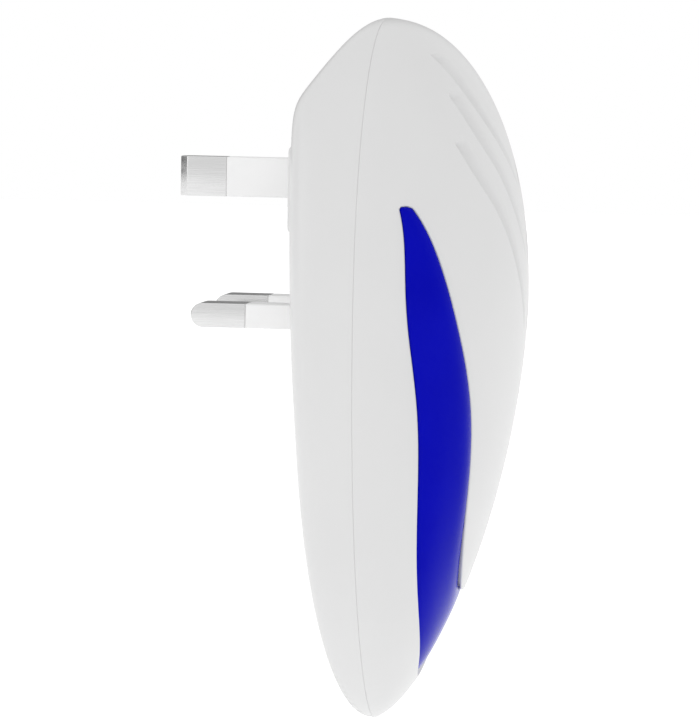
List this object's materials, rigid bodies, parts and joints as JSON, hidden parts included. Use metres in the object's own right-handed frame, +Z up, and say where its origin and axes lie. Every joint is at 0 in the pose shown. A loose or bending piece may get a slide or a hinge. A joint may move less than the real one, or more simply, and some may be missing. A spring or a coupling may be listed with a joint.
{
  "type": "ultrasonic pest repeller",
  "caption": "Plug-in ultrasonic pest repeller: egg-shaped white case, curved blue lens, V-shaped sound grooves and a UK three-pin plug on its flat back.",
  "frame": {"origin": "on the plug's mating face (the raised pad's face), midway between the live and neutral pins", "axes": "+Y out of the back along the pins, into the socket; +Z up towards the earth pin; +X to the right seen from the front, on the live pin's side"},
  "size_m": [0.068, 0.0582, 0.1166],
  "materials": {
    "case_white": "satin",
    "lens_blue": "polished translucent",
    "guide_clear": "frosted",
    "pin_metal": "nickel plated, brushed",
    "sleeve_white": "satin",
    "retainer_black": "matte",
    "tab_brass": "bright",
    "board_green": "solder mask",
    "film_red": "dipped",
    "coil_yellow": "tape",
    "ferrite_grey": "matte",
    "chip_black": "moulded",
    "sleeve_can": "shrink sleeve",
    "resistor_body": "matte lacquer",
    "led_clear": "clear epoxy",
    "ring_foam": "soft",
    "piezo_white": "fired",
    "screw_steel": "zinc plated",
    "wire_brown": "pvc",
    "wire_blue": "pvc",
    "wire_red": "pvc",
    "wire_black": "pvc"
  },
  "bodies": {
    "root": {"front_cover": "case_white", "rear_cover": "case_white", "lens": "lens_blue", "light_guide": "guide_clear", "earth_pin": "pin_metal", "live_pin": "pin_metal", "neutral_pin": "pin_metal", "earth_sleeve": "sleeve_white", "live_sleeve": "sleeve_white", "neutral_sleeve": "sleeve_white", "pin_retainer": "retainer_black", "live_tab": "tab_brass", "neutral_tab": "tab_brass", "piezo_disc": "tab_brass", "main_board": "board_green", "film_capacitor": "film_red", "transformer_coil": "coil_yellow", "transformer_core": "ferrite_grey", "controller_chip": "chip_black", "bridge_rectifier": "chip_black", "smoothing_capacitor": "sleeve_can", "output_capacitor": "sleeve_can", "resistors": "resistor_body", "fuse_resistor": "resistor_body", "led_upper_right": "led_clear", "led_upper_left": "led_clear", "led_lower_right": "led_clear", "led_lower_left": "led_clear", "chamber_ring": "ring_foam", "piezo_ceramic": "piezo_white", "case_screws": "screw_steel", "board_screws": "screw_steel", "live_wire": "wire_brown", "neutral_wire": "wire_blue", "piezo_wire": "wire_red", "ceramic_wire": "wire_black"}
  },
  "joints": []
}
